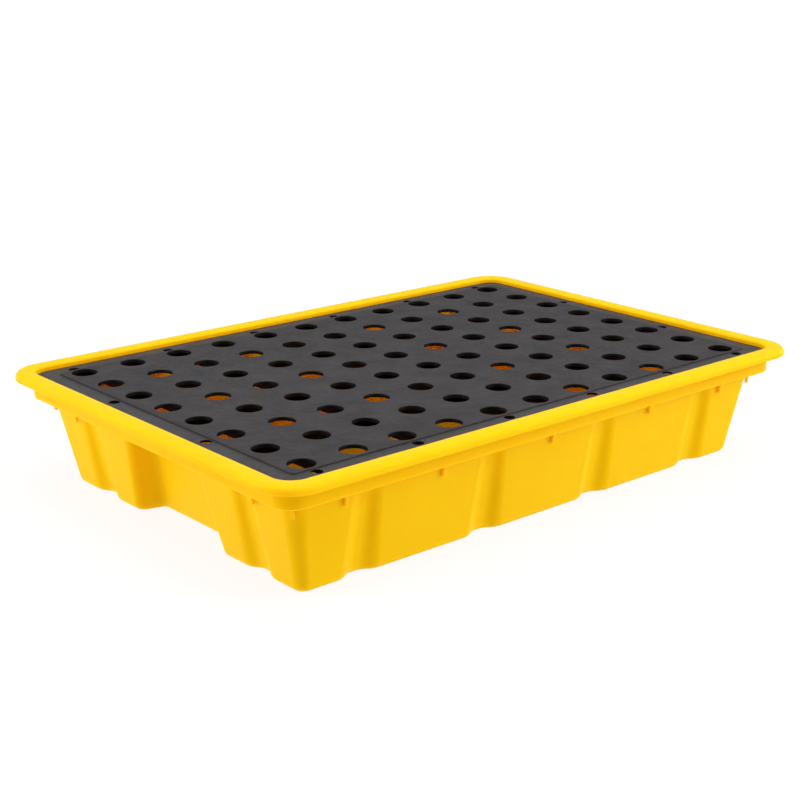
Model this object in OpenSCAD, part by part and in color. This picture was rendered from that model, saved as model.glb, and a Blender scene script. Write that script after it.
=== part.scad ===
// Spill containment pallet: a moulded sump tray, the ribbed deck grate that drops
// into the recess in its rim, and the support posts plugged in under the grate.
// Frame: X along the tray, Y across it, Z up, origin on the ground under the middle.

/* [Overall] */
// Length over the rim
overall_l = 1000; // [980:10:1060]
// Width over the rim
overall_w = 696; // [690:1:720]
// Height from the ground to the top of the rim
overall_h = 175; // [160:5:220]

/* [Tray] */
// Wall thickness of the tray
wall_t = 4; // [3:0.5:5]
// Width of the flat rim, from its outer edge to the deck recess
rim_w = 28; // [26:1:32]
// Radius of the rim's outer corners
rim_r = 52; // [46:1:64]
// Height of the lip that turns down at the rim's outer edge
lip_h = 12; // [10:1:18]
// Radius of the rim's outer top edge, over the lip
lip_r = 7; // [3:1:9]
// Radius of the rim's inner top edge, over the recess
edge_r = 3; // [2:0.5:3.5]
// Height of the crown across the rim
crown_h = 1.5; // [0.5:0.5:2]
// Depth of the deck recess below the top of the rim
recess_d = 36; // [34:1:44]
// Radius of the recess corners
recess_r = 28; // [22:1:40]
// How far the sump wall is set in from the rim's edge, under the ledge
wall_inset = 47; // [44:1:52]
// Radius of the sump wall's corners under the ledge
wall_r = 26; // [18:1:34]
// Length of the tray's outline on the ground
base_l = 850; // [830:5:870]
// Width of the tray's outline on the ground
base_w = 558; // [550:2:570]
// Radius of the sump wall's corners at the ground
base_r = 16; // [14:1:24]
// Radius between the sump wall and the floor
floor_r = 9; // [6:1:11]

/* [Flutes] */
// Distance between neighbouring flutes on the long sides
flute_pitch = 220; // [200:5:224]
// Distance from the middle to each flute on the short sides
flute_end_y = 190; // [186:1:194]
// Depth of a flute at the ground
flute_d = 11; // [8:0.5:12]
// Depth of a flute under the ledge
flute_top_d = 8; // [6:0.5:10]
// Width of a flute's floor at the ground
flute_w = 6; // [2:1:20]
// Width of a flute's floor under the ledge
flute_top_w = 4; // [2:1:12]
// Depth of the hollow in the middle of each short side
hollow_d = 36; // [28:1:40]
// Width of the hollow's floor at the ground
hollow_w = 180; // [150:5:190]
// Width of the hollow's floor under the ledge
hollow_top_w = 130; // [100:5:150]

/* [Gussets] */
// Thickness of the small gussets under the ledge
gusset_t = 5; // [3:0.5:6]
// Height of the gussets
gusset_h = 22; // [10:1:28]
// How far the gussets reach out along the ledge, and how far at their lower end
gusset_w = 5; // [4:1:19]
gusset_low_w = 3; // [2:1:4]

/* [Deck grate] */
// Clearance between the deck and the recess wall
deck_gap = 2.5; // [1.5:0.5:4]
// Distance from the top of the rim down to the deck's tread
deck_drop = 5; // [4:1:10]
// Thickness of the deck plate along its border
plate_t = 3.5; // [3:0.5:5]
// Height of the raised tread above the border
tread_h = 2; // [1:0.5:3]
// Width of the smooth border round the tread
border_w = 29; // [28:0.5:30]
// Holes along the deck
holes_x = 11; // [11:1:11]
// Holes across the deck
holes_y = 8; // [8:1:8]
// Distance between holes along the deck
pitch_x = 82; // [78:1:83]
// Distance between holes across the deck
pitch_y = 76; // [72:1:78]
// Diameter of a deck hole
hole_d = 37; // [28:1:38]
// Diameter of the small drain holes in the border
drain_d = 16; // [10:1:17]
// Distance of the drain holes from the deck's edge
drain_edge = 20; // [16:1:20]
// Thickness of the deck's ribs
rib_t = 3; // [2.5:0.5:5]
// Thickness of the deck's skirt
skirt_t = 4; // [3:0.5:6]

/* [Support posts] */
// Diameter of a post's tube
post_d = 30; // [24:1:31]
// Wall thickness of a post's tube and of its socket
post_t = 3; // [2:0.5:3.5]
// Diameter of a post's foot
foot_d = 46; // [38:1:60]
// Thickness of a post's foot
foot_t = 4; // [3:1:6]
// Height of the shoulder that carries the socket
shoulder_h = 5; // [3:1:8]

/* [Hidden] */

TRAY_COLOR = "gold";
GRATE_COLOR = "dimgray";
POST_COLOR = "darkslategray";

// Clearance under what rests on the tray, and round a post in its socket
rest_gap = 0.3;
socket_gap = 0.1;

// Heights
ledge_z = overall_h - recess_d;
under_z = ledge_z - wall_t;
lip_z = overall_h - lip_h;
tread_z = overall_h - deck_drop;
border_z = tread_z - tread_h;
plate_z = border_z - plate_t;
skirt_z = ledge_z + rest_gap;
rib_z = skirt_z + 2;

// Half sizes of the deck, and the radius of its corners
deck_x = overall_l / 2 - rim_w - deck_gap;
deck_y = overall_w / 2 - rim_w - deck_gap;
deck_r = recess_r - deck_gap;

// Angle of a groove's flanks to its side, and how much of a flank is round
FLUTE_A = 36;
FLUTE_ROUND = 0.95;
HOLLOW_A = 76;
HOLLOW_ROUND = 0.5;
// Steps on each arc of a flank, and on each corner of the tray
FLANK_N = 3;
CORNER_N = 6;

// Places of the ribs and posts, in hole pitches from the middle of the deck
RIBS_X = [-4.5, -2.5, -0.5, 0.5, 2.5, 4.5];
RIBS_Y = [-2, 0, 2];
POSTS_Y = [-2, 0, 2];
// Places of the gussets on the long and the short sides
GUSSETS_X = [-369, -205, 0, 205, 369];
GUSSETS_Y = [-220, 220];

function mix(a, b, t) = a + (b - a) * t;

// ---- Outline of the tray ----

// A groove's flank is an S-curve: two arcs of radius r with a straight run between
// them that stands at angle a to the side. Points are [place from the mouth, depth].
function flank_r(d, a, k) = k * d / (2 * (1 - cos(a)));
function flank_w(d, a, r) = 2 * r * sin(a) + (d - 2 * r * (1 - cos(a))) / tan(a);
function flank(d, a, r) = let (w = flank_w(d, a, r), n = FLANK_N) concat(
    [for (i = [0 : n]) let (t = a * i / n) [r * sin(t), r * (1 - cos(t))]],
    [for (i = [n : -1 : 0]) let (t = a * i / n) [w - r * sin(t), d - r * (1 - cos(t))]]);

// A groove across a side, centred at c, with a floor of width w and depth d
function groove(c, w, d, a, k) = let (f = flank(d, a, flank_r(d, a, k)),
        n = len(f), m = w / 2 + f[n - 1][0])
    concat([for (i = [0 : n - 1]) [c - m + f[i][0], f[i][1]]],
           [for (i = [n - 1 : -1 : 0]) [c + m - f[i][0], f[i][1]]]);

// The grooves of a side, at share t of the way from the ground up to the ledge.
// skin is how far inside the outer surface the outline lies, which widens them.
function flute(c, t, skin) = groove(c,
    mix(flute_w, flute_top_w, t) + 2 * skin * tan(FLUTE_A / 2),
    mix(flute_d, flute_top_d, t), FLUTE_A, FLUTE_ROUND);
function hollow(t, skin) = groove(0,
    mix(hollow_w, hollow_top_w, t) + 2 * skin * tan(HOLLOW_A / 2),
    hollow_d, HOLLOW_A, HOLLOW_ROUND);
function long_side(t, skin) =
    [for (i = [-1.5 : 1 : 1.5]) each flute(i * flute_pitch, t, skin)];
function short_side(t, skin) = concat(flute(-flute_end_y, t, skin),
    hollow(t, skin), flute(flute_end_y, t, skin));

// A side at distance h from the centre and the corner after it, turned by ang
function side(pts, h, ang, z, deep) = [for (p = pts) let (u = h - p[1] * deep)
    [u * cos(ang) - p[0] * sin(ang), u * sin(ang) + p[0] * cos(ang), z]];
function corner(cx, cy, r, ang, z) = [for (i = [0 : CORNER_N])
    let (a = ang + 90 * i / CORNER_N) [cx + r * cos(a), cy + r * sin(a), z]];

// The closed outline at height z, with half sizes x and y; deep is 0 on plain sides
function ring(x, y, r, z, t = 1, skin = 0, deep = 0) = concat(
    side(short_side(t, skin), x, 0, z, deep), corner(x - r, y - r, r, 0, z),
    side(long_side(t, skin), y, 90, z, deep), corner(r - x, y - r, r, 90, z),
    side(short_side(t, skin), x, 180, z, deep), corner(r - x, r - y, r, 180, z),
    side(long_side(t, skin), y, 270, z, deep), corner(x - r, r - y, r, 270, z));

// Height of the crowned rim at a distance inset from its outer edge
function crown_z(inset) = overall_h - crown_h * pow(2 * inset / rim_w - 1, 2);

// The sump wall at height z, set in by inset, with the grooves in it
function wall_ring(z, inset, skin) = let (t = z / under_z) ring(
    mix(base_l, overall_l - 2 * wall_inset, t) / 2 - inset,
    mix(base_w, overall_w - 2 * wall_inset, t) / 2 - inset,
    mix(base_r, wall_r, t) - inset * 0.7, z, t, skin, 1);
// The rim at height z, set in by inset from its outer edge
function rim_ring(z, inset) = ring(overall_l / 2 - inset, overall_w / 2 - inset,
    mix(rim_r, recess_r, inset / rim_w), z);

// A quarter round in n steps, as shares of its radius: [in from the side, up]
function quarter(n) = [for (i = [0 : n]) [1 - sin(90 * i / n), 1 - cos(90 * i / n)]];

// The tray's skin as a stack of rings: up the outside, over the rim, down the inside
TRAY_RINGS = concat(
    [for (q = quarter(3)) wall_ring(q[1] * floor_r, q[0] * floor_r, 0)],
    [wall_ring(under_z, 0, 0)],
    [rim_ring(under_z, rim_w - wall_t), rim_ring(overall_h - wall_t, rim_w - wall_t),
     rim_ring(overall_h - wall_t, lip_r), rim_ring(overall_h - lip_r, wall_t),
     rim_ring(lip_z, wall_t), rim_ring(lip_z, 0)],
    [for (q = quarter(3)) rim_ring(crown_z(lip_r) - q[0] * lip_r, q[1] * lip_r)],
    [rim_ring(overall_h, rim_w / 2)],
    [for (q = quarter(2)) rim_ring(crown_z(rim_w - edge_r) - q[1] * edge_r,
        rim_w - q[0] * edge_r)],
    [rim_ring(ledge_z, rim_w)],
    [wall_ring(ledge_z, wall_t, wall_t)],
    [for (i = [2 : -1 : 0]) let (q = quarter(2)[i])
        wall_ring(wall_t + q[1] * floor_r, wall_t + q[0] * floor_r, wall_t)]);

// A closed solid from a stack of rings with the same number of points, with a
// point in the middle of each end
module skin_solid(stack) {
    n = len(stack[0]);
    last = len(stack) - 1;
    first_mid = n * (last + 1);
    polyhedron(
        points = concat([for (r = stack) each r],
            [[0, 0, stack[0][0][2]], [0, 0, stack[last][0][2]]]),
        faces = concat(
            [for (i = [0 : n - 1]) [first_mid, i, (i + 1) % n]],
            [for (k = [0 : last - 1], i = [0 : n - 1]) let (j = (i + 1) % n)
                each [[k * n + i, (k + 1) * n + i, k * n + j],
                      [k * n + j, (k + 1) * n + i, (k + 1) * n + j]]],
            [for (i = [0 : n - 1]) [first_mid + 1, last * n + (i + 1) % n, last * n + i]]));
}

// A web in the angle between the sump wall and the ledge, where the wall is at
// distance h along X
module gusset(h) {
    root = h - wall_t / 2;
    rotate([90, 0, 0]) linear_extrude(gusset_t, center = true) polygon([
        [root, under_z + wall_t / 2], [h + gusset_w, under_z + wall_t / 2],
        [h + gusset_w, under_z], [h + gusset_low_w, under_z - gusset_h],
        [root, under_z - gusset_h]]);
}

module sump_tray() {
    color(TRAY_COLOR) {
        skin_solid(TRAY_RINGS);
        for (end = [0, 180]) rotate([0, 0, end]) {
            for (x = GUSSETS_X) translate([x, 0, 0])
                rotate([0, 0, 90]) gusset(overall_w / 2 - wall_inset);
            for (y = GUSSETS_Y) translate([0, y, 0])
                gusset(overall_l / 2 - wall_inset);
            for (s = [-1, 1]) translate([overall_l / 2 - wall_inset - wall_r,
                    s * (overall_w / 2 - wall_inset - wall_r), 0])
                rotate([0, 0, s * 45]) gusset(wall_r);
        }
    }
}

// ---- Deck grate ----

module rounded(x, y, r) {
    square([2 * x, 2 * (y - r)], center = true);
    square([2 * (x - r), 2 * y], center = true);
    for (cx = [r - x, x - r], cy = [r - y, y - r]) translate([cx, cy])
        circle(r, $fn = 48);
}

module deck_holes() {
    for (i = [0 : holes_x - 1], j = [0 : holes_y - 1])
        translate([(i - (holes_x - 1) / 2) * pitch_x, (j - (holes_y - 1) / 2) * pitch_y])
            circle(d = hole_d, $fn = 48);
}

// Small holes in the border, beside every other hole of the long rows and beside
// the third hole from each end of the short rows
module drain_holes() {
    for (s = [-1, 1]) {
        for (i = [-2.5 : 1 : 2.5]) translate([2 * i * pitch_x, s * (deck_y - drain_edge)])
            circle(d = drain_d, $fn = 32);
        for (j = [-1.5, 1.5]) translate([s * (deck_x - drain_edge), j * pitch_y])
            circle(d = drain_d, $fn = 32);
    }
}

module deck_ribs() {
    h = plate_z - rib_z;
    for (i = RIBS_X) translate([i * pitch_x, 0, rib_z + h / 2])
        cube([rib_t, 2 * deck_y - skirt_t, h], center = true);
    for (j = RIBS_Y) translate([0, j * pitch_y, rib_z + h / 2])
        cube([2 * deck_x - skirt_t, rib_t, h], center = true);
}

module post_sockets(d, z) {
    for (j = POSTS_Y) translate([0, j * pitch_y, z])
        cylinder(h = plate_z - z, d = d, $fn = 48);
}

module deck_grate() {
    color(GRATE_COLOR) difference() {
        union() {
            translate([0, 0, plate_z]) linear_extrude(plate_t) difference() {
                rounded(deck_x, deck_y, deck_r);
                deck_holes();
                drain_holes();
            }
            translate([0, 0, border_z]) linear_extrude(tread_h) difference() {
                rounded(deck_x - border_w, deck_y - border_w, 5);
                deck_holes();
            }
            translate([0, 0, skirt_z]) linear_extrude(plate_z - skirt_z) difference() {
                rounded(deck_x, deck_y, deck_r);
                rounded(deck_x - skirt_t, deck_y - skirt_t, deck_r - skirt_t);
            }
            deck_ribs();
            post_sockets(post_d + 2 * post_t, rib_z);
        }
        post_sockets(post_d + 2 * socket_gap, rib_z - 1);
    }
}

// ---- Support posts ----

// A tube with a closed top that plugs into its socket up to the shoulder, and a
// foot that stands just over the tray's floor
module support_post(j) {
    foot_z = wall_t + rest_gap;
    tube_r = post_d / 2;
    color(POST_COLOR) translate([0, j * pitch_y, 0]) rotate_extrude($fn = 64) polygon([
        [tube_r - post_t, foot_z], [foot_d / 2, foot_z],
        [foot_d / 2, foot_z + foot_t], [tube_r, foot_z + 2 * foot_t],
        [tube_r, rib_z - shoulder_h - post_t], [tube_r + post_t, rib_z - shoulder_h],
        [tube_r + post_t, rib_z], [tube_r, rib_z],
        [tube_r, plate_z], [0, plate_z],
        [0, plate_z - post_t], [tube_r - post_t, plate_z - post_t]]);
}

sump_tray();
deck_grate();
support_post(POSTS_Y[0]);  // support_post_1
support_post(POSTS_Y[1]);  // support_post_2
support_post(POSTS_Y[2]);  // support_post_3
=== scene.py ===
"""The looks of the spill containment pallet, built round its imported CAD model.

Everything is in metres in the CAD's frame: X along the tray, Y across it, Z up, with
the origin on the ground under the middle of the tray.
"""

from math import cos, hypot, pi, radians, sin, tan

import bmesh
import bpy
from mathutils import Matrix, Vector
from mathutils.geometry import delaunay_2d_cdt


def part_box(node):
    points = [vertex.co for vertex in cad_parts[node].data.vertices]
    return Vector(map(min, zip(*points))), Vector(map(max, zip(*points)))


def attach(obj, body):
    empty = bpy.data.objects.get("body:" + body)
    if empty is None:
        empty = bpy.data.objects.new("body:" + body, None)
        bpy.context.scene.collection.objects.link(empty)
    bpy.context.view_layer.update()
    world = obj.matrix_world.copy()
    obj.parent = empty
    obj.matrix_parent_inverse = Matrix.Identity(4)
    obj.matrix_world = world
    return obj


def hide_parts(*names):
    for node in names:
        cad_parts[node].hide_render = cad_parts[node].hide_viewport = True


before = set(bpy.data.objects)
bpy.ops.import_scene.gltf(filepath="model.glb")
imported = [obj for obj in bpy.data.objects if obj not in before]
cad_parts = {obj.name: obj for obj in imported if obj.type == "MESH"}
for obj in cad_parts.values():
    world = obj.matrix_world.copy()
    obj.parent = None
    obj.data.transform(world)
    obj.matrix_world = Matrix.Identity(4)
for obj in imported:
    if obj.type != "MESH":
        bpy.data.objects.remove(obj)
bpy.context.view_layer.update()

# ---- Sizes ----

HALF_L, HALF_W, RIM_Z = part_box("sump_tray")[1]
DECK_X, DECK_Y, TREAD_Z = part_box("deck_grate")[1]
SKIRT_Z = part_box("deck_grate")[0].z

# Tray: rim, lip, recess and sump wall
WALL_T = 0.004
RIM_W, RIM_R, RECESS_R = 0.028, 0.052, 0.028
LIP_R, EDGE_R, CROWN = 0.007, 0.003, 0.0015
LIP_Z = RIM_Z - 0.012
LEDGE_Z = RIM_Z - 0.036
UNDER_Z = LEDGE_Z - WALL_T
WALL_INSET, WALL_R = 0.047, 0.026
BASE_X, BASE_Y, BASE_R = 0.425, 0.279, 0.016
FLOOR_R = 0.009
# Share of an inset by which the wall's corner radius shrinks
CORNER_SHRINK = 0.7

# Flutes down the sides, and the hand hollow in the middle of each short side
FLUTES_X = [-0.33, -0.11, 0.11, 0.33]
FLUTE_END_Y = 0.19
FLUTE_D, FLUTE_TOP_D = 0.011, 0.008
FLUTE_W, FLUTE_TOP_W = 0.006, 0.004
FLUTE_A, FLUTE_ROUND = radians(36), 0.95
HOLLOW_D, HOLLOW_W, HOLLOW_TOP_W = 0.036, 0.18, 0.13
HOLLOW_A, HOLLOW_ROUND = radians(76), 0.5

# Gussets under the ledge: sizes, radius of the lower tip, and ease of the long edges
GUSSET_T, GUSSET_H, GUSSET_W, GUSSET_LOW_W = 0.005, 0.022, 0.005, 0.003
GUSSET_TIP_R, GUSSET_EASE = 0.002, 0.0018
GUSSETS_X = [-0.369, -0.205, 0, 0.205, 0.369]
GUSSETS_Y = [-0.22, 0.22]

# Deck: plate, tread, holes, skirt, ribs and post sockets
DECK_R = 0.0255
BORDER_Z = TREAD_Z - 0.002
PLATE_Z = BORDER_Z - 0.0035
RIB_Z = SKIRT_Z + 0.002
BORDER_W, TREAD_R = 0.029, 0.005
PITCH_X, PITCH_Y = 0.082, 0.076
HOLE_R, DRAIN_R, DRAIN_EDGE = 0.0185, 0.008, 0.02
RIB_T, SKIRT_T = 0.003, 0.004
RIBS_X = [PITCH_X * i for i in (-4.5, -2.5, -0.5, 0.5, 2.5, 4.5)]
RIBS_Y = [PITCH_Y * j for j in (-2, 0, 2)]
SOCKET_R, BORE_R = 0.018, 0.0151

# Steps on the arcs of a flank, on a corner, round a hole and round a post
FLANK_N, CORNER_N, HOLE_N, POST_N = 8, 16, 48, 64
# Edges that turn by more than this are shaded sharp
SHARP_A = radians(35)
# Where a web's finish stands in the tray's list of materials, and the grate's three in its own; the
# grate's third is a near-black that paints shade in its holes and underneath
WEB = 1
TREAD, BORDER, PAINTED_SHADE = 0, 1, 2


# ---- Mesh helpers ----

def mix(a, b, t):
    return a + (b - a) * t


def arc(n, start=0.0, end=pi / 2):
    return [mix(start, end, i / n) for i in range(n + 1)]


def rounded_path(points, radii, n=4):
    """The inner points of an open path, each turned into an arc of its own radius."""
    path = []
    for before, here, after, radius in zip(points, points[1:], points[2:], radii):
        here = Vector(here)
        back = (Vector(before) - here).normalized()
        on = (Vector(after) - here).normalized()
        half = back.angle(on) / 2
        reach = radius / tan(half)
        middle = here + (back + on).normalized() * radius / sin(half)
        first, last = here + back * reach - middle, here + on * reach - middle
        sweep = first.angle(last)
        for t in arc(n, 0, 1):
            share = (sin((1 - t) * sweep) * first + sin(t * sweep) * last) / sin(sweep)
            path.append(tuple(middle + share))
    return path


def rounded_rect(x, y, r, n=CORNER_N):
    """A closed outline with half sizes x and y, anticlockwise, as 2-D points."""
    centres = [(x - r, y - r), (r - x, y - r), (r - x, r - y), (x - r, r - y)]
    return [(cx + r * cos(a), cy + r * sin(a))
            for k, (cx, cy) in enumerate(centres)
            for a in arc(n, k * pi / 2, (k + 1) * pi / 2)]


def circle(cx, cy, r, n=HOLE_N):
    return [(cx + r * cos(2 * pi * i / n), cy + r * sin(2 * pi * i / n)) for i in range(n)]


def at(loop, z):
    return [(x, y, z) for x, y in loop]


def bands(bm, loops):
    """Joins each closed loop to the next, point by point."""
    rows = [[bm.verts.new(p) for p in loop] for loop in loops]
    for low, high in zip(rows, rows[1:]):
        for i in range(len(low)):
            j = (i + 1) % len(low)
            bm.faces.new((low[i], low[j], high[j], high[i]))
    return rows


def triangles(loops, lines=()):
    """A triangulation of the plane that keeps every edge of the loops and lines."""
    points, edges = [], []
    for loop in loops:
        first = len(points)
        points += loop
        edges += [(first + i, first + (i + 1) % len(loop)) for i in range(len(loop))]
    for line in lines:
        first = len(points)
        points += line
        edges += [(first + i, first + i + 1) for i in range(len(line) - 1)]
    made = delaunay_2d_cdt([Vector(p) for p in points], edges, [], 0, 1e-7)
    return made[0], made[2]


def middle_of(points, face):
    return sum((points[k] for k in face), Vector((0, 0))) / len(face)


def fill(bm, loops, inside, height, lines=()):
    """A flat sheet over the places that inside() accepts, at height(point)."""
    points, faces = triangles(loops, lines)
    verts = {}
    for face in faces:
        if inside(*middle_of(points, face)):
            for k in face:
                if k not in verts:
                    verts[k] = bm.verts.new((*points[k], height(points[k])))
            bm.faces.new([verts[k] for k in face])


def terraces(bm, loops, level):
    """Flat steps at the height that level() gives, with upright walls between them.
    Nothing is made where level() is None."""
    points, faces = triangles(loops)
    levels = [level(*middle_of(points, face)) for face in faces]
    heights, sides, verts = {}, {}, {}
    for face, z in zip(faces, levels):
        for k, here in enumerate(face):
            if z is not None:
                heights.setdefault(here, set()).add(z)
            edge = tuple(sorted((here, face[(k + 1) % 3])))
            sides.setdefault(edge, []).append(z)

    def vert(k, z):
        if (k, z) not in verts:
            verts[k, z] = bm.verts.new((*points[k], z))
        return verts[k, z]

    for face, z in zip(faces, levels):
        if z is not None:
            bm.faces.new([vert(k, z) for k in face])
    for (a, b), pair in sides.items():
        if len(pair) == 2 and None not in pair and pair[0] != pair[1]:
            low, high = sorted(pair)
            up = [vert(a, z) for z in sorted(heights[a]) if low <= z <= high]
            down = [vert(b, z) for z in sorted(heights[b], reverse=True) if low <= z <= high]
            bm.faces.new(up + down)


def finished(bm, name, body, materials, replaced):
    """Makes the piece from its mesh: welded, shaded, and riding on its body."""
    bmesh.ops.remove_doubles(bm, verts=bm.verts, dist=1e-6)
    bmesh.ops.recalc_face_normals(bm, faces=bm.faces)
    mesh = bpy.data.meshes.new(name)
    bm.to_mesh(mesh)
    bm.free()
    mesh.shade_smooth()
    mesh.set_sharp_from_angle(angle=SHARP_A)
    for material in materials:
        mesh.materials.append(material)
    piece = bpy.data.objects.new(name, mesh)
    bpy.context.scene.collection.objects.link(piece)
    weigh = piece.modifiers.new("even_shading", "WEIGHTED_NORMAL")
    weigh.keep_sharp = True
    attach(piece, body)
    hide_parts(replaced)
    return piece


# ---- Materials ----

def add_node(material, kind, inputs=None, **settings):
    """A node with its settings made and its inputs set to values or linked to sockets."""
    tree = material.node_tree
    node = tree.nodes.new(kind)
    for key, value in settings.items():
        setattr(node, key, value)
    for key, value in (inputs or {}).items():
        if isinstance(value, bpy.types.NodeSocket):
            tree.links.new(value, node.inputs[key])
        else:
            node.inputs[key].default_value = value
    return node


def plastic(name, specular):
    material = bpy.data.materials.new(name)
    material.use_nodes = True
    shader = material.node_tree.nodes["Principled BSDF"]
    shader.inputs["Specular IOR Level"].default_value = specular
    place = add_node(material, "ShaderNodeTexCoord").outputs["Object"]
    return material, shader, place


def noise(material, place, scale, detail=2.0, roughness=0.5, stretch=(1, 1, 1)):
    """Noise with about `scale` features to the metre, from 0 to 1."""
    if stretch != (1, 1, 1):
        place = add_node(material, "ShaderNodeMapping",
                         {"Vector": place, "Scale": stretch}).outputs["Vector"]
    return add_node(material, "ShaderNodeTexNoise",
                    {"Vector": place, "Scale": scale, "Detail": detail,
                     "Roughness": roughness}).outputs["Fac"]


def spread(material, value, low, high, start=0.3, end=0.7):
    """Maps start..end of a value to low..high."""
    return add_node(material, "ShaderNodeMapRange",
                    {"Value": value, "From Min": start, "From Max": end,
                     "To Min": low, "To Max": high}).outputs["Result"]


def blended(material, share, a, b):
    return add_node(material, "ShaderNodeMix", {"Factor": share, 6: a, 7: b},
                    data_type="RGBA").outputs[2]


def bumps(material, shader, layers):
    """Stacks bump layers of (height, depth in metres) on the shader."""
    normal = None
    for height, depth in layers:
        inputs = {"Height": height, "Distance": depth, "Strength": 1.0}
        if normal is not None:
            inputs["Normal"] = normal
        normal = add_node(material, "ShaderNodeBump", inputs).outputs["Normal"]
    material.node_tree.links.new(normal, shader.inputs["Normal"])


def tray_finish(name, clear):
    """Bright yellow polyethylene: satin, a little uneven, with a painted highlight that pales its
    sharp convex edges.
    The share `clear` of the light goes into it, so its thin walls glow orange inside."""
    material, shader, place = plastic(name, 0.07)
    shader.inputs["Specular Tint"].default_value = (1.0, 0.72, 0.06, 1)
    shader.inputs["Subsurface Weight"].default_value = clear
    shader.inputs["Subsurface Radius"].default_value = (1.0, 0.45, 0.03)
    shader.inputs["Subsurface Scale"].default_value = 0.016
    cloud = spread(material, noise(material, place, 7, 3), 0.0, 1.0)
    body = blended(material, cloud, (0.95, 0.49, 0.001, 1), (0.99, 0.52, 0.002, 1))
    # Pointiness pales the colour towards pale yellow on convex edges: a painted highlight for the
    # light that the rounded rim edges catch.
    edge = add_node(material, "ShaderNodeNewGeometry").outputs["Pointiness"]
    edge_highlight = spread(material, edge, 0.0, 0.35, 0.52, 0.60)
    colour = blended(material, edge_highlight, body, (1.0, 0.70, 0.10, 1))
    satin = spread(material, noise(material, place, 60, 4), 0.42, 0.55)
    links = material.node_tree.links
    links.new(colour, shader.inputs["Base Color"])
    links.new(satin, shader.inputs["Roughness"])
    bumps(material, shader, [
        (noise(material, place, 14, 2), 0.0010),
        (noise(material, place, 1400, 2, 0.6), 0.00003)])
    return material


def grate_finish(name, specular, rough, grain):
    """Charcoal regrind plastic: warm and cool patches, mottled with paler flecks over a
    fine moulded grain."""
    material, shader, place = plastic(name, specular)
    cloud = spread(material, noise(material, place, 22, 5, 0.65), 0.0, 1.0, 0.35, 0.65)
    warm = blended(material, cloud, (0.026, 0.0215, 0.0210, 1), (0.040, 0.0340, 0.0330, 1))
    cool = blended(material, cloud, (0.022, 0.0215, 0.0250, 1), (0.035, 0.0345, 0.0395, 1))
    patches = spread(material, noise(material, place, 75, 3, 0.6), 0.0, 1.0, 0.42, 0.58)
    body = blended(material, patches, warm, cool)
    fleck = spread(material, noise(material, place, 420, 3, 0.7), 0.0, 0.5, 0.58, 0.72)
    colour = blended(material, fleck, body, (0.065, 0.06, 0.063, 1))
    shine = spread(material, noise(material, place, 90, 4), rough - 0.06, rough + 0.08)
    links = material.node_tree.links
    links.new(colour, shader.inputs["Base Color"])
    links.new(shine, shader.inputs["Roughness"])
    bumps(material, shader, [
        (noise(material, place, 18, 2), 0.0006),
        (noise(material, place, 750, 3, 0.6), grain)])
    return material


def painted_shade_black(name):
    """Near-black plastic, darker than the grate's own, that paints shade on the hole walls and the
    underside; it has a soft shine.
    """
    material, shader, place = plastic(name, 0.12)
    cloud = spread(material, noise(material, place, 35, 3), 0.0, 1.0)
    colour = blended(material, cloud, (0.004, 0.0035, 0.004, 1), (0.007, 0.0065, 0.007, 1))
    links = material.node_tree.links
    links.new(colour, shader.inputs["Base Color"])
    links.new(spread(material, noise(material, place, 120, 3), 0.42, 0.54), shader.inputs["Roughness"])
    bumps(material, shader, [(noise(material, place, 900, 2), 0.00002)])
    return material


def post_finish():
    """Black pipe plastic with faint drawing lines along its length."""
    material, shader, place = plastic("post_plastic", 0.5)
    cloud = spread(material, noise(material, place, 40, 3), 0.0, 1.0)
    colour = blended(material, cloud, (0.012, 0.012, 0.013, 1), (0.022, 0.022, 0.023, 1))
    lines = noise(material, place, 700, 2, 0.5, (1, 1, 0.02))
    links = material.node_tree.links
    links.new(colour, shader.inputs["Base Color"])
    links.new(spread(material, lines, 0.34, 0.48), shader.inputs["Roughness"])
    bumps(material, shader, [(lines, 0.00004)])
    return material


# ---- Sump tray ----

def flank(d, a, k):
    """A groove's flank, an S-curve of two arcs with a straight run between them that
    stands at angle a to the side. Points are (place from the mouth, depth)."""
    r = k * d / (2 * (1 - cos(a)))
    w = 2 * r * sin(a) + (d - 2 * r * (1 - cos(a))) / tan(a)
    mouth = [(r * sin(t), r * (1 - cos(t))) for t in arc(FLANK_N, 0, a)]
    foot = [(w - r * sin(t), d - r * (1 - cos(t))) for t in arc(FLANK_N, a, 0)]
    return mouth + foot


def groove(c, w, d, a, k):
    """A groove across a side, centred at c, with a floor of width w and depth d."""
    points = flank(d, a, k)
    m = w / 2 + points[-1][0]
    return [(c - m + x, y) for x, y in points] + [(c + m - x, y) for x, y in points[::-1]]


def flute(c, t, skin):
    """A flute at share t of the way up; skin is how far inside the surface it lies."""
    return groove(c, mix(FLUTE_W, FLUTE_TOP_W, t) + 2 * skin * tan(FLUTE_A / 2),
                  mix(FLUTE_D, FLUTE_TOP_D, t), FLUTE_A, FLUTE_ROUND)


def hollow(t, skin):
    return groove(0, mix(HOLLOW_W, HOLLOW_TOP_W, t) + 2 * skin * tan(HOLLOW_A / 2),
                  HOLLOW_D, HOLLOW_A, HOLLOW_ROUND)


def ring(x, y, r, z, t=1.0, skin=0.0, deep=0):
    """The tray's outline at height z, with half sizes x and y. Every ring has the same
    number of points; deep is 0 where the sides are plain."""
    short = flute(-FLUTE_END_Y, t, skin) + hollow(t, skin) + flute(FLUTE_END_Y, t, skin)
    long = [p for c in FLUTES_X for p in flute(c, t, skin)]
    out = []
    for k, (points, h, cx, cy) in enumerate([
            (short, x, x - r, y - r), (long, y, r - x, y - r),
            (short, x, r - x, r - y), (long, y, x - r, r - y)]):
        turn = k * pi / 2
        for along, depth in points:
            u = h - depth * deep
            out.append((u * cos(turn) - along * sin(turn), u * sin(turn) + along * cos(turn), z))
        out += [(cx + r * cos(a), cy + r * sin(a), z) for a in arc(CORNER_N, turn, turn + pi / 2)]
    return out


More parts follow.
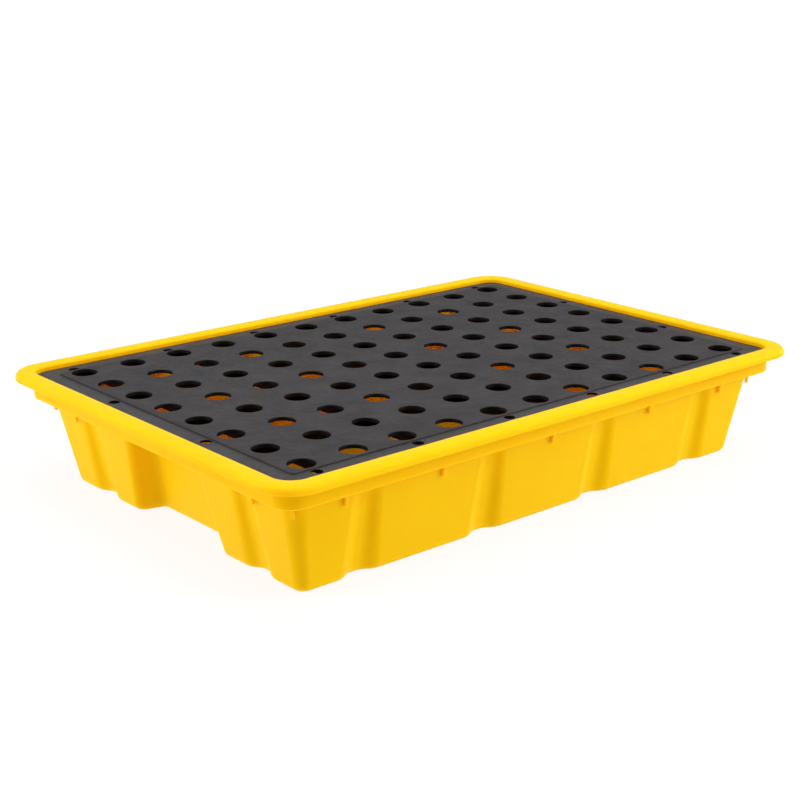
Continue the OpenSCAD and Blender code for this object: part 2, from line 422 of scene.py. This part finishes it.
def wall_ring(z, inset, skin=0.0):
    """The sump wall at height z, set in by inset."""
    t = z / UNDER_Z
    return ring(mix(BASE_X, HALF_L - WALL_INSET, t) - inset,
                mix(BASE_Y, HALF_W - WALL_INSET, t) - inset,
                mix(BASE_R, WALL_R, t) - inset * CORNER_SHRINK, z, t, skin, 1)


def rim_ring(z, inset):
    return ring(HALF_L - inset, HALF_W - inset, mix(RIM_R, RECESS_R, inset / RIM_W), z)


def crown_z(inset):
    """Height of the crowned rim at a distance inset from its outer edge."""
    return RIM_Z - CROWN * (2 * inset / RIM_W - 1) ** 2


def crown_corner(inset, edge):
    """Where the crown's tangent at inset meets the upright side at edge."""
    slope = 4 * CROWN / RIM_W * (1 - 2 * inset / RIM_W)
    return edge, crown_z(inset) + slope * (edge - inset)


def gusset(bm, h, turn, middle):
    """A web in the angle between the sump wall and the ledge, with eased edges."""
    root, top = h - WALL_T / 2, UNDER_Z + WALL_T / 2
    outline = [(root, top), (h + GUSSET_W, top), (h + GUSSET_W, UNDER_Z)]
    outline += rounded_path([(h + GUSSET_W, UNDER_Z), (h + GUSSET_LOW_W, UNDER_Z - GUSSET_H),
                             (root, UNDER_Z - GUSSET_H)], [GUSSET_TIP_R])
    outline.append((root, UNDER_Z - GUSSET_H))
    place = Matrix.Translation(middle) @ Matrix.Rotation(turn, 4, "Z")
    rows = []
    for side in (-1, 1):
        rows.append([bm.verts.new(place @ Vector((x, side * GUSSET_T / 2, z))) for x, z in outline])
    faces = [bm.faces.new(rows[0]), bm.faces.new(rows[1][::-1])]
    for i in range(len(outline)):
        j = (i + 1) % len(outline)
        faces.append(bm.faces.new((rows[0][i], rows[1][i], rows[1][j], rows[0][j])))
    for face in faces:
        face.material_index = WEB
    edges = {e for f in faces[:2] for e in f.edges}
    bmesh.ops.bevel(bm, geom=list(edges), offset=GUSSET_EASE, segments=4, profile=0.5,
                    affect="EDGES", clamp_overlap=True)


def sump_tray():
    """The tray as one closed stack of rings, up the outside, over the rim and down inside."""
    bm = bmesh.new()
    foot = [(FLOOR_R * (1 - sin(a)), FLOOR_R * (1 - cos(a))) for a in arc(6)]
    root_r, mouth_r, ledge_r, lap = 0.0025, 0.002, 0.0015, 0.04
    stack = [wall_ring(z, inset) for inset, z in foot]
    stack += [wall_ring(mix(FLOOR_R, UNDER_Z - root_r, i / 6), 0) for i in range(1, 7)]
    stack += [wall_ring(UNDER_Z - root_r * (1 - sin(a)), -root_r * (1 - cos(a)),
                        -root_r * (1 - cos(a))) for a in arc(4)[1:]]
    last_inset = RIM_W - EDGE_R
    # Radii from the foot of the step up under the rim, round the lip and over its edge
    step_r, skirt_r, under_r, lip_end_r = 0.0025, 0.002, 0.004, 0.0012
    outside = rounded_path(
        [(lap, UNDER_Z), (RIM_W - WALL_T, UNDER_Z), (RIM_W - WALL_T, RIM_Z - WALL_T),
         (WALL_T, RIM_Z - WALL_T), (WALL_T, LIP_Z), (0, LIP_Z)] +
        [crown_corner(LIP_R, 0), (LIP_R, crown_z(LIP_R))],
        [step_r, skirt_r, under_r, lip_end_r, lip_end_r, LIP_R])
    crown = [(u, crown_z(u)) for u in (mix(LIP_R, last_inset, i / 6) for i in range(7))]
    inside = rounded_path(
        [(last_inset, crown_z(last_inset)), crown_corner(last_inset, RIM_W),
         (RIM_W, LEDGE_Z), (lap, LEDGE_Z)],
        [EDGE_R * 0.95, ledge_r])
    profile = outside + crown + inside
    stack += [rim_ring(z, inset) for inset, z in profile]
    stack += [wall_ring(LEDGE_Z - mouth_r * (1 - cos(a)), WALL_T - mouth_r * (1 - sin(a)), WALL_T)
              for a in arc(4)]
    stack += [wall_ring(mix(LEDGE_Z - mouth_r, WALL_T + FLOOR_R, i / 6), WALL_T, WALL_T)
              for i in range(1, 6)]
    stack += [wall_ring(WALL_T + z, WALL_T + inset, WALL_T) for inset, z in foot[::-1]]
    rows = bands(bm, stack)
    bm.faces.new(rows[0])
    bm.faces.new(rows[-1])
    corner_x, corner_y = HALF_L - WALL_INSET - WALL_R, HALF_W - WALL_INSET - WALL_R
    for end in (0, 1):
        turn, sign = end * pi, 1 - 2 * end
        for x in GUSSETS_X:
            gusset(bm, HALF_W - WALL_INSET, turn + pi / 2, (x, 0, 0))
        for y in GUSSETS_Y:
            gusset(bm, HALF_L - WALL_INSET, turn, (0, y, 0))
        for side in (-1, 1):
            gusset(bm, WALL_R, turn + side * pi / 4, (sign * corner_x, side * sign * corner_y, 0))
    finishes = [tray_finish("tray_plastic", 0.5), tray_finish("tray_web_plastic", 0.0)]
    return finished(bm, "sump_tray_shell", "tray", finishes, "sump_tray")


# ---- Deck grate ----

def places():
    """Middles of the deck's holes, and of the small drain holes in its border."""
    holes = [((i - 5) * PITCH_X, (j - 3.5) * PITCH_Y) for i in range(11) for j in range(8)]
    drains = []
    for s in (-1, 1):
        drains += [(2 * i * PITCH_X, s * (DECK_Y - DRAIN_EDGE))
                   for i in (-2.5, -1.5, -0.5, 0.5, 1.5, 2.5)]
        drains += [(s * (DECK_X - DRAIN_EDGE), j * PITCH_Y) for j in (-1.5, 1.5)]
    return holes, drains


def within_rect(x, y, half_x, half_y, r):
    """True inside a rounded rectangle."""
    dx, dy = abs(x) - half_x + r, abs(y) - half_y + r
    return max(dx, dy) < r and (dx < 0 or dy < 0 or hypot(dx, dy) < r)


def deck_grate():
    """The grate: bored plate, raised tread, border, skirt, and the ribs and sockets below."""
    bm = bmesh.new()
    holes, drains = places()
    hole_e, drain_e, step_e, edge_e, under_e = 0.0012, 0.0005, 0.0006, 0.0015, 0.0004
    tread_x, tread_y = DECK_X - BORDER_W, DECK_Y - BORDER_W
    # How far out from a hole's wall the painted shade of the wall still shows
    painted_shade_e = 0.0008

    def in_holes(x, y, margin):
        i, j = round(x / PITCH_X), round(y / PITCH_Y - 0.5) + 0.5
        return (abs(i) <= 5 and abs(j) <= 3.5
                and hypot(x - i * PITCH_X, y - j * PITCH_Y) < HOLE_R + margin)

    def in_drains(x, y, margin):
        return any(hypot(x - cx, y - cy) < DRAIN_R + margin for cx, cy in drains)

    def bore(cx, cy, r, top, edge):
        """The wall of a hole through the plate, with its top and bottom edges eased."""
        rings = [(r + under_e, PLATE_Z), (r, PLATE_Z + under_e)]
        rings += [(r + edge * (1 - cos(a)), top - edge * (1 - sin(a))) for a in arc(4)]
        bands(bm, [at(circle(cx, cy, ring_r), z) for ring_r, z in rings])

    for cx, cy in holes:
        bore(cx, cy, HOLE_R, TREAD_Z, hole_e)
    for cx, cy in drains:
        bore(cx, cy, DRAIN_R, BORDER_Z, drain_e)

    # The tread, with a shallow sink line over the middle rib, and the step round it
    sink_w, sink_d, sink_x = 0.0022, 0.00025, tread_x - 0.004
    tread = rounded_rect(tread_x - step_e, tread_y - step_e, TREAD_R)
    spans = [[(mix(-sink_x, sink_x, i / 60), y) for i in range(61)]
             for y in (-sink_w, 0, sink_w)]
    fill(bm, [tread] + [circle(cx, cy, HOLE_R + hole_e) for cx, cy in holes],
         lambda x, y: within_rect(x, y, tread_x - step_e, tread_y - step_e, TREAD_R)
         and not in_holes(x, y, hole_e),
         lambda p: TREAD_Z - (sink_d if abs(p.y) < 1e-6 and abs(p.x) < sink_x + 1e-6 else 0),
         spans)
    bands(bm, [at(rounded_rect(tread_x - step_e * (1 - cos(a)), tread_y - step_e * (1 - cos(a)),
                               TREAD_R), TREAD_Z - step_e * (1 - sin(a)))
               for a in arc(3, pi / 2, 0)]
          + [at(rounded_rect(tread_x, tread_y, TREAD_R), BORDER_Z)])

    # The border and the outside of the skirt
    inner = rounded_rect(tread_x, tread_y, TREAD_R)
    outer = rounded_rect(DECK_X - edge_e, DECK_Y - edge_e, DECK_R - edge_e)
    fill(bm, [inner, outer] + [circle(cx, cy, DRAIN_R + drain_e) for cx, cy in drains],
         lambda x, y: within_rect(x, y, DECK_X - edge_e, DECK_Y - edge_e, DECK_R - edge_e)
         and not within_rect(x, y, tread_x, tread_y, TREAD_R)
         and not in_drains(x, y, drain_e), lambda p: BORDER_Z)
    skirt = [(edge_e * (1 - cos(a)), BORDER_Z - edge_e * (1 - sin(a))) for a in arc(5, pi / 2, 0)]
    skirt += [(under_e * (1 - cos(a)), SKIRT_Z + under_e * (1 - sin(a))) for a in arc(2)]
    bands(bm, [at(rounded_rect(DECK_X - s, DECK_Y - s, DECK_R - s), z) for s, z in skirt])

    # The underside: skirt, ribs, and sockets for the posts
    rib_x, rib_y = DECK_X - SKIRT_T, DECK_Y - SKIRT_T

    def underside(x, y):
        if not within_rect(x, y, DECK_X, DECK_Y, DECK_R) or in_holes(x, y, under_e):
            return None
        if in_drains(x, y, under_e):
            return None
        if not within_rect(x, y, rib_x, rib_y, DECK_R - SKIRT_T):
            return SKIRT_Z
        centre = min(hypot(x, y - cy) for cy in RIBS_Y)
        if centre < BORE_R:
            return PLATE_Z
        on_rib = (min(abs(x - rx) for rx in RIBS_X) < RIB_T / 2
                  or min(abs(y - ry) for ry in RIBS_Y) < RIB_T / 2)
        return RIB_Z if centre < SOCKET_R or on_rib else PLATE_Z

    half = RIB_T / 2
    loops = [rounded_rect(DECK_X - under_e, DECK_Y - under_e, DECK_R - under_e),
             rounded_rect(rib_x, rib_y, DECK_R - SKIRT_T)]
    loops += [[(x - half, -rib_y), (x + half, -rib_y), (x + half, rib_y), (x - half, rib_y)]
              for x in RIBS_X]
    loops += [[(-rib_x, y - half), (rib_x, y - half), (rib_x, y + half), (-rib_x, y + half)]
              for y in RIBS_Y]
    loops += [circle(0, y, r, POST_N) for y in RIBS_Y for r in (SOCKET_R, BORE_R)]
    loops += [circle(cx, cy, HOLE_R + under_e) for cx, cy in holes]
    loops += [circle(cx, cy, DRAIN_R + under_e) for cx, cy in drains]
    terraces(bm, loops, underside)

    tread_finish = grate_finish("grate_tread_plastic", 0.2, 0.66, 0.00012)
    border_finish = grate_finish("grate_border_plastic", 0.27, 0.48, 0.00003)
    # The near-black finish is painted shade: it darkens the hole walls, the skirt and the underside
    # below the grate's own colour.
    painted_shade_finish = painted_shade_black("grate_painted_shade_plastic")
    piece = finished(bm, "deck_grate_plate", "grate",
                     [tread_finish, border_finish, painted_shade_finish], "deck_grate")
    # Faces inside the holes and below the top take the near-black finish of painted shade.
    for face in piece.data.polygons:
        x, y, z = face.center
        on_top = z > BORDER_Z - edge_e and not in_holes(x, y, painted_shade_e) and not in_drains(x, y, 0)
        on_tread = within_rect(x, y, tread_x - 1e-4, tread_y - 1e-4, TREAD_R)
        face.material_index = (TREAD if on_tread else BORDER) if on_top else PAINTED_SHADE
    return piece


# ---- Support posts ----

def support_post(number, y, finish):
    """A post turned from the CAD post's sizes, with eased edges."""
    node = f"support_post_{number}"
    low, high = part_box(node)
    foot_r = (high.x - low.x) / 2
    tube_r, bore_r, bore_h, cap_t = 0.015, 0.012, 0.02, 0.003
    foot_t, shoulder_h, taper_h = 0.004, 0.005, 0.003
    outline = [(bore_r, low.z + bore_h), (bore_r, low.z), (foot_r, low.z), (foot_r, low.z + foot_t),
               (tube_r, low.z + 2 * foot_t), (tube_r, RIB_Z - shoulder_h - taper_h),
               (SOCKET_R, RIB_Z - shoulder_h), (SOCKET_R, RIB_Z), (tube_r, RIB_Z),
               (tube_r, high.z), (0, high.z)]
    radii = [0.0006, 0.0012, 0.0012, 0.003, 0.002, 0.001, 0.0006, 0.0004, 0.0015]
    path = rounded_path(outline, radii, 3)
    bm = bmesh.new()
    rows = bands(bm, [at(circle(0, y, r, POST_N), z) for r, z in path])
    bm.faces.new(rows[-1])
    inner = bands(bm, [at(circle(0, y, bore_r, POST_N), z) for z in (high.z - cap_t, path[0][1])])
    bm.faces.new(inner[0])
    return finished(bm, f"{node}_turned", "grate", [finish], node)


# ---- Stage, light and camera ----

# Radiance of the room on its near and far side, and of the floor near and far away
ROOM, FAR_ROOM = 0.05, 0.55
# The white band round the horizon, as sines of the elevations between which it fades
BAND_LOW, BAND_HIGH = 0.10, 0.24
FLOOR_GLOW, FAR_GLOW = 0.86, 1.1
# Distances from the middle between which the floor's radiance rises
GLOW_NEAR, GLOW_FAR = 1.2, 4.0
# The floor's side, and how far it lies under the tray
FLOOR_SIZE, FLOOR_DROP = 60, 0.0002
# Compass direction of the room's brighter side
FAR_AZIMUTH = radians(41.8)
# Lamps: place, width, height, power in watts
LAMPS = {
    "left": ((-3.2, 1.6, 1.6), 2.4, 2.0, 87),
    "right": ((2.6, -2.8, 1.8), 2.4, 2.0, 109),
    "top": ((0.3, 0.3, 3.0), 3.0, 3.0, 38),
    "top_near": ((-0.5, -1.4, 3.0), 2.4, 2.0, 42),
}


def white_floor():
    """A pale floor that reads as plain white under these lights."""
    bpy.ops.mesh.primitive_plane_add(size=FLOOR_SIZE, location=(0, 0, -FLOOR_DROP))
    floor = bpy.context.object
    floor.name = "floor"
    material = bpy.data.materials.new("floor_white")
    material.use_nodes = True
    shader = material.node_tree.nodes["Principled BSDF"]
    shader.inputs["Base Color"].default_value = (0.14, 0.14, 0.14, 1)
    shader.inputs["Roughness"].default_value = 0.9
    shader.inputs["Specular IOR Level"].default_value = 0.0
    shader.inputs["Emission Color"].default_value = (1, 1, 1, 1)
    place = add_node(material, "ShaderNodeTexCoord").outputs["Object"]
    away = add_node(material, "ShaderNodeVectorMath", {0: place}, operation="LENGTH")
    glow = spread(material, away.outputs["Value"], FLOOR_GLOW, FAR_GLOW,
                  GLOW_NEAR, GLOW_FAR)
    material.node_tree.links.new(glow, shader.inputs["Emission Strength"])
    floor.data.materials.append(material)


def soft_box(name, place, width, height, power):
    """A large soft lamp that faces the middle of the tray."""
    lamp = bpy.data.lights.new(name, "AREA")
    lamp.shape = "RECTANGLE"
    lamp.size, lamp.size_y = width, height
    lamp.energy = power
    lamp_object = bpy.data.objects.new(name, lamp)
    bpy.context.scene.collection.objects.link(lamp_object)
    lamp_object.location = place
    aim = Vector((0, 0, 0.1)) - Vector(place)
    lamp_object.rotation_euler = aim.to_track_quat("-Z", "Y").to_euler()


def room_light(strength, far_strength, far_azimuth):
    """A white room that is brighter towards one side and round the horizon."""
    world = bpy.data.worlds.new("room")
    world.use_nodes = True
    bpy.context.scene.world = world
    tree = world.node_tree
    background = tree.nodes["Background"]
    background.inputs["Color"].default_value = (1, 1, 1, 1)
    place = tree.nodes.new("ShaderNodeTexCoord")
    dot = tree.nodes.new("ShaderNodeVectorMath")
    dot.operation = "DOT_PRODUCT"
    dot.inputs[1].default_value = (sin(far_azimuth), cos(far_azimuth), 0)
    tree.links.new(place.outputs["Generated"], dot.inputs[0])
    ramp = tree.nodes.new("ShaderNodeMapRange")
    ramp.interpolation_type = "SMOOTHSTEP"
    for key, value in {"From Min": -0.7, "From Max": 0.7,
                       "To Min": strength, "To Max": far_strength}.items():
        ramp.inputs[key].default_value = value
    tree.links.new(dot.outputs["Value"], ramp.inputs["Value"])
    height = tree.nodes.new("ShaderNodeSeparateXYZ")
    tree.links.new(place.outputs["Generated"], height.inputs[0])
    band = tree.nodes.new("ShaderNodeMapRange")
    band.interpolation_type = "SMOOTHSTEP"
    for key, value in {"From Min": BAND_LOW, "From Max": BAND_HIGH, "To Min": 1.0,
                       "To Max": 0.0}.items():
        band.inputs[key].default_value = value
    tree.links.new(height.outputs["Z"], band.inputs["Value"])
    brighter = tree.nodes.new("ShaderNodeMath")
    brighter.operation = "MAXIMUM"
    tree.links.new(ramp.outputs["Result"], brighter.inputs[0])
    tree.links.new(band.outputs["Result"], brighter.inputs[1])
    tree.links.new(brighter.outputs["Value"], background.inputs["Strength"])


def camera():
    """The camera stands low off the near left corner and looks along the deck."""
    azimuth, elevation, roll = radians(41.848), radians(17.519), radians(0.242)
    data = bpy.data.cameras.new("camera")
    data.sensor_width, data.lens = 36, 69.877
    data.shift_x, data.shift_y = -0.0497, 0.0089
    data.clip_end = 100
    forward = Vector((sin(azimuth) * cos(elevation), cos(azimuth) * cos(elevation),
                      -sin(elevation)))
    level = Vector((cos(azimuth), -sin(azimuth), 0))
    right = level * cos(roll) + level.cross(forward) * sin(roll)
    up = right.cross(forward)
    holder = bpy.data.objects.new("camera", data)
    holder.matrix_world = Matrix.Translation((-1.4901, -1.7279, 0.8148)) @ Matrix(
        (right, up, -forward)).transposed().to_4x4()
    bpy.context.scene.collection.objects.link(holder)
    bpy.context.scene.camera = holder


sump_tray()
deck_grate()
shared_post_finish = post_finish()
for number, post_y in enumerate(RIBS_Y, 1):
    support_post(number, post_y, shared_post_finish)

white_floor()
room_light(ROOM, FAR_ROOM, FAR_AZIMUTH)
for lamp_name, (lamp_place, lamp_w, lamp_h, watts) in LAMPS.items():
    soft_box(lamp_name, lamp_place, lamp_w, lamp_h, watts)
camera()
bpy.context.scene.view_settings.view_transform = "Standard"
